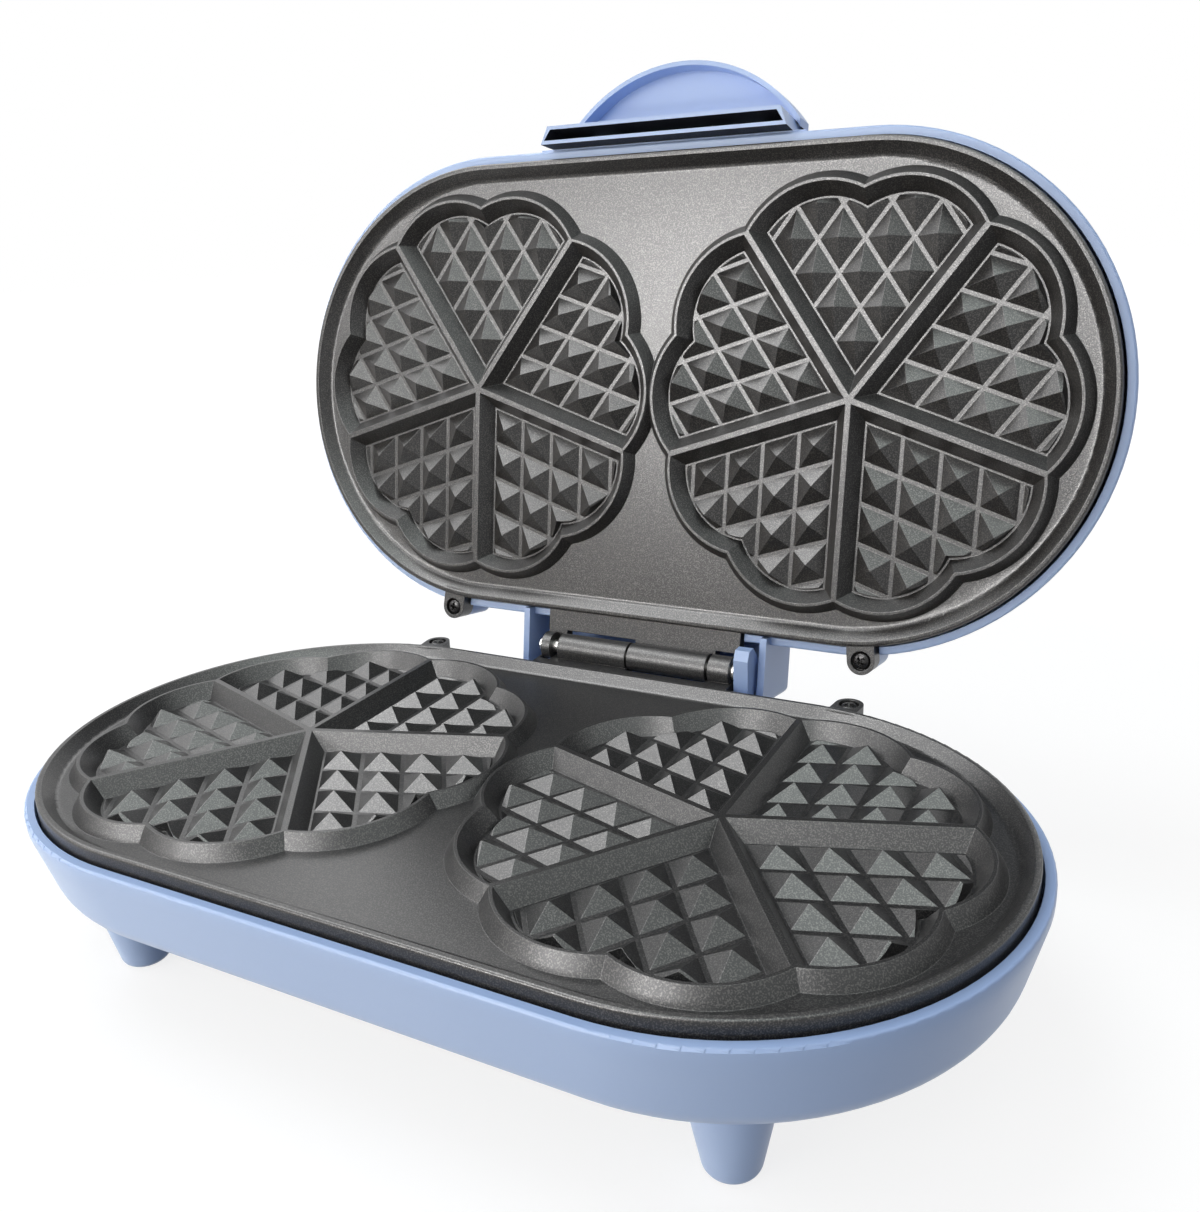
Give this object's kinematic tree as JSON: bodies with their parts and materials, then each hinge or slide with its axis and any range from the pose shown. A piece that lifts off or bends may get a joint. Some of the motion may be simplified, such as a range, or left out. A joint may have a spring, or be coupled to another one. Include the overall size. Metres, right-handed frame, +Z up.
{
  "type": "waffle iron",
  "caption": "Double waffle iron: hinged lid, heart-flower cooking plates with small pyramids, moulded shell on tapered legs, half-moon handle",
  "frame": {"origin": "on the table, under the middle of the box round the open iron", "axes": "+X along the iron's length, to the right seen from the front; +Y from the front to the hinge; +Z up"},
  "size_m": [0.3342, 0.2576, 0.278],
  "materials": {
    "blue_shell": "semi-gloss moulded powder-blue plastic",
    "nonstick_cast": "charcoal non-stick coating with fine metallic speckle on cast aluminium",
    "dark_screw": "black oxide steel screws",
    "steel": "plain bright steel",
    "heater_sheath": "dull green-grey metal sheath of a tubular heater",
    "reflector_sheet": "bright rolled sheet",
    "white_insulator": "off-white heat-resistant insulator",
    "lead_sleeve": "glass-fibre sleeved leads",
    "foot_rubber": "black rubber",
    "lamp_lens": "clear coloured lens",
    "lamp_glass": "small glass lamp"
  },
  "bodies": {
    "base": {"base_shell": "blue_shell", "leg_front_left": "blue_shell", "leg_front_right": "blue_shell", "leg_rear_left": "blue_shell", "leg_rear_right": "blue_shell", "foot_pads": "foot_rubber", "leg_screws": "steel", "lower_plate": "nonstick_cast", "lower_plate_screws": "dark_screw", "lower_fixing_screws": "dark_screw", "lower_heating_element": "heater_sheath", "lower_element_ends": "steel", "lower_element_clips": "steel", "lower_reflector": "reflector_sheet", "thermostat": "white_insulator", "lower_thermal_fuse": "white_insulator", "lower_terminal_block": "white_insulator", "lower_leads": "lead_sleeve", "cord_gland": "foot_rubber", "hinge_pin": "steel", "pin_clips": "steel"},
    "lid": {"lid_shell": "blue_shell", "handle": "blue_shell", "handle_screws": "steel", "upper_plate": "nonstick_cast", "upper_plate_screws": "dark_screw", "upper_fixing_screws": "dark_screw", "upper_heating_element": "heater_sheath", "upper_element_ends": "steel", "upper_element_clips": "steel", "upper_reflector": "reflector_sheet", "upper_thermal_fuse": "white_insulator", "upper_terminal_block": "white_insulator", "upper_leads": "lead_sleeve", "indicator_lenses": "lamp_lens", "indicator_lamps": "lamp_glass"}
  },
  "joints": [
    {"name": "lid_hinge", "type": "hinge", "parent": "base", "child": "lid", "pos_m": [0, 0.06313, 0.0624], "axis": [1, 0, 0], "range_deg": [0, 100.3]}
  ]
}
